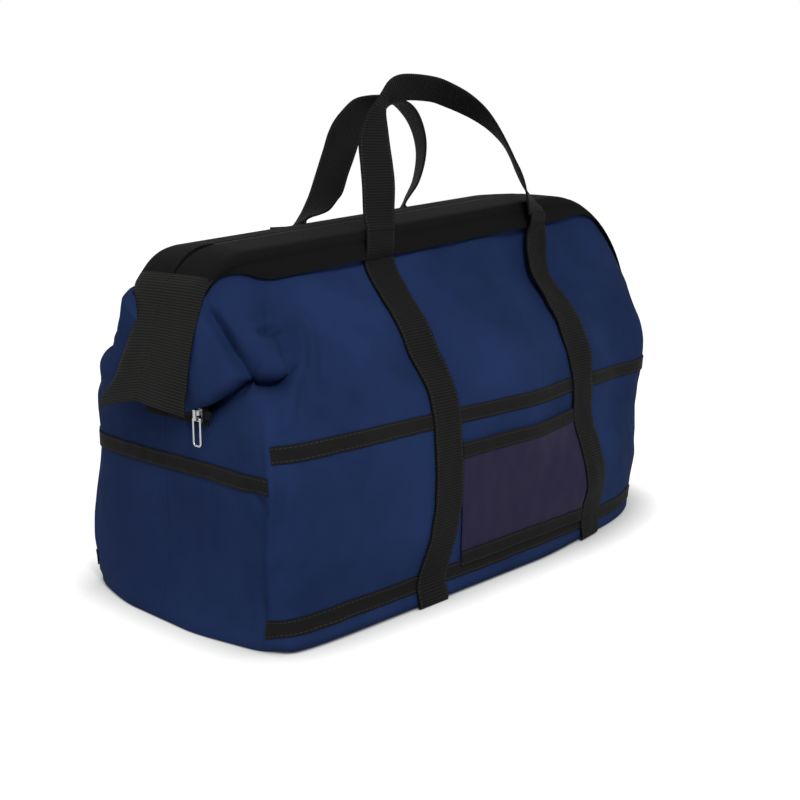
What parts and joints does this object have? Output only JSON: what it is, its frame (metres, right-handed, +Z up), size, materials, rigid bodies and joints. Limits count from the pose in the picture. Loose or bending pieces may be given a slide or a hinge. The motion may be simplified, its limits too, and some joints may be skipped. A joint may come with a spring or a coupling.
{
  "type": "wide-mouth carry bag",
  "caption": "Soft carry bag with hinged frame mouth, zip, webbing straps and handles, trim tapes and a bare front patch.",
  "frame": {"origin": "centre of the underside, midway between the two front straps", "axes": "+X along the bag towards its rounded end, -Y towards the front with the patch, +Z up"},
  "size_m": [0.756, 0.332, 0.5321],
  "materials": {
    "body_fabric": "navy canvas",
    "patch_fabric": "smooth dark navy fabric",
    "black_fabric": "black plain-woven tape",
    "black_webbing": "black ribbed polypropylene webbing",
    "trim_tape": "black ribbed binding tape",
    "zip_tape": "black knitted zip tape",
    "zip_teeth": "black moulded teeth",
    "frame_steel": "plated steel rod",
    "bright_metal": "polished nickel",
    "board_plastic": "grey fibreboard"
  },
  "bodies": {
    "root": {"base_panel": "body_fabric", "base_board": "board_plastic", "front_lower_panel": "body_fabric", "rear_lower_panel": "body_fabric", "flat_end_panel": "body_fabric", "round_end_panel": "body_fabric", "front_upper_panel": "body_fabric", "rear_upper_panel": "body_fabric", "flat_end_front_gusset": "body_fabric", "flat_end_rear_gusset": "body_fabric", "round_end_front_gusset": "body_fabric", "round_end_rear_gusset": "body_fabric", "front_side_tape": "trim_tape", "rear_side_tape": "trim_tape", "flat_end_tape": "trim_tape", "round_end_tape": "trim_tape", "front_foot_tape": "trim_tape", "rear_foot_tape": "trim_tape", "patch_panel": "patch_fabric", "patch_bindings": "trim_tape", "front_lower_straps": "black_webbing", "rear_lower_straps": "black_webbing", "front_upper_straps": "black_webbing", "rear_upper_straps": "black_webbing", "hinge_anchors": "black_webbing", "hinge_rivets": "frame_steel", "zip_tail_tape": "zip_tape", "zip_tail_teeth": "zip_teeth"},
    "front_mouth": {"front_frame_rod": "frame_steel", "front_hinge_plates": "frame_steel", "front_mouth_band": "black_fabric", "front_end_tabs": "black_webbing", "front_zip_tape": "zip_tape", "front_zip_teeth": "zip_teeth", "front_strap_heads": "black_webbing"},
    "rear_mouth": {"rear_frame_rod": "frame_steel", "rear_hinge_plates": "frame_steel", "rear_mouth_band": "black_fabric", "rear_end_tabs": "black_webbing", "rear_zip_tape": "zip_tape", "rear_zip_teeth": "zip_teeth", "rear_strap_heads": "black_webbing"},
    "front_handle": {"front_handle": "black_webbing"},
    "rear_handle": {"rear_handle": "black_webbing"},
    "zip_slider": {"zip_slider": "bright_metal"},
    "pull_ring": {"pull_ring": "bright_metal"}
  },
  "joints": [
    {"name": "front_mouth_hinge", "type": "hinge", "parent": "root", "child": "front_mouth", "pos_m": [0, 0, 0.212], "axis": [1, 0, 0], "range_deg": [0, 34], "deforming": ["front_upper_panel", "flat_end_front_gusset", "round_end_front_gusset", "front_upper_straps"]},
    {"name": "rear_mouth_hinge", "type": "hinge", "parent": "root", "child": "rear_mouth", "pos_m": [0, 0, 0.212], "axis": [-1, 0, 0], "range_deg": [0, 34], "deforming": ["rear_upper_panel", "flat_end_rear_gusset", "round_end_rear_gusset", "rear_upper_straps"]},
    {"name": "front_handle_fold", "type": "hinge", "parent": "front_mouth", "child": "front_handle", "pos_m": [0, -0.068, 0.382], "axis": [1, 0, 0], "range_deg": [0, 125]},
    {"name": "rear_handle_fold", "type": "hinge", "parent": "rear_mouth", "child": "rear_handle", "pos_m": [0, 0.068, 0.382], "axis": [-1, 0, 0], "range_deg": [0, 125]},
    {"name": "zip_slide", "type": "slide", "parent": "root", "child": "zip_slider", "axis": [0, 1, 0], "range_m": [0, 0.052]},
    {"name": "pull_swing", "type": "hinge", "parent": "zip_slider", "child": "pull_ring", "pos_m": [-0.3653, -0.062, 0.20965], "axis": [0, 1, 0], "range_deg": [0, 30]}
  ]
}
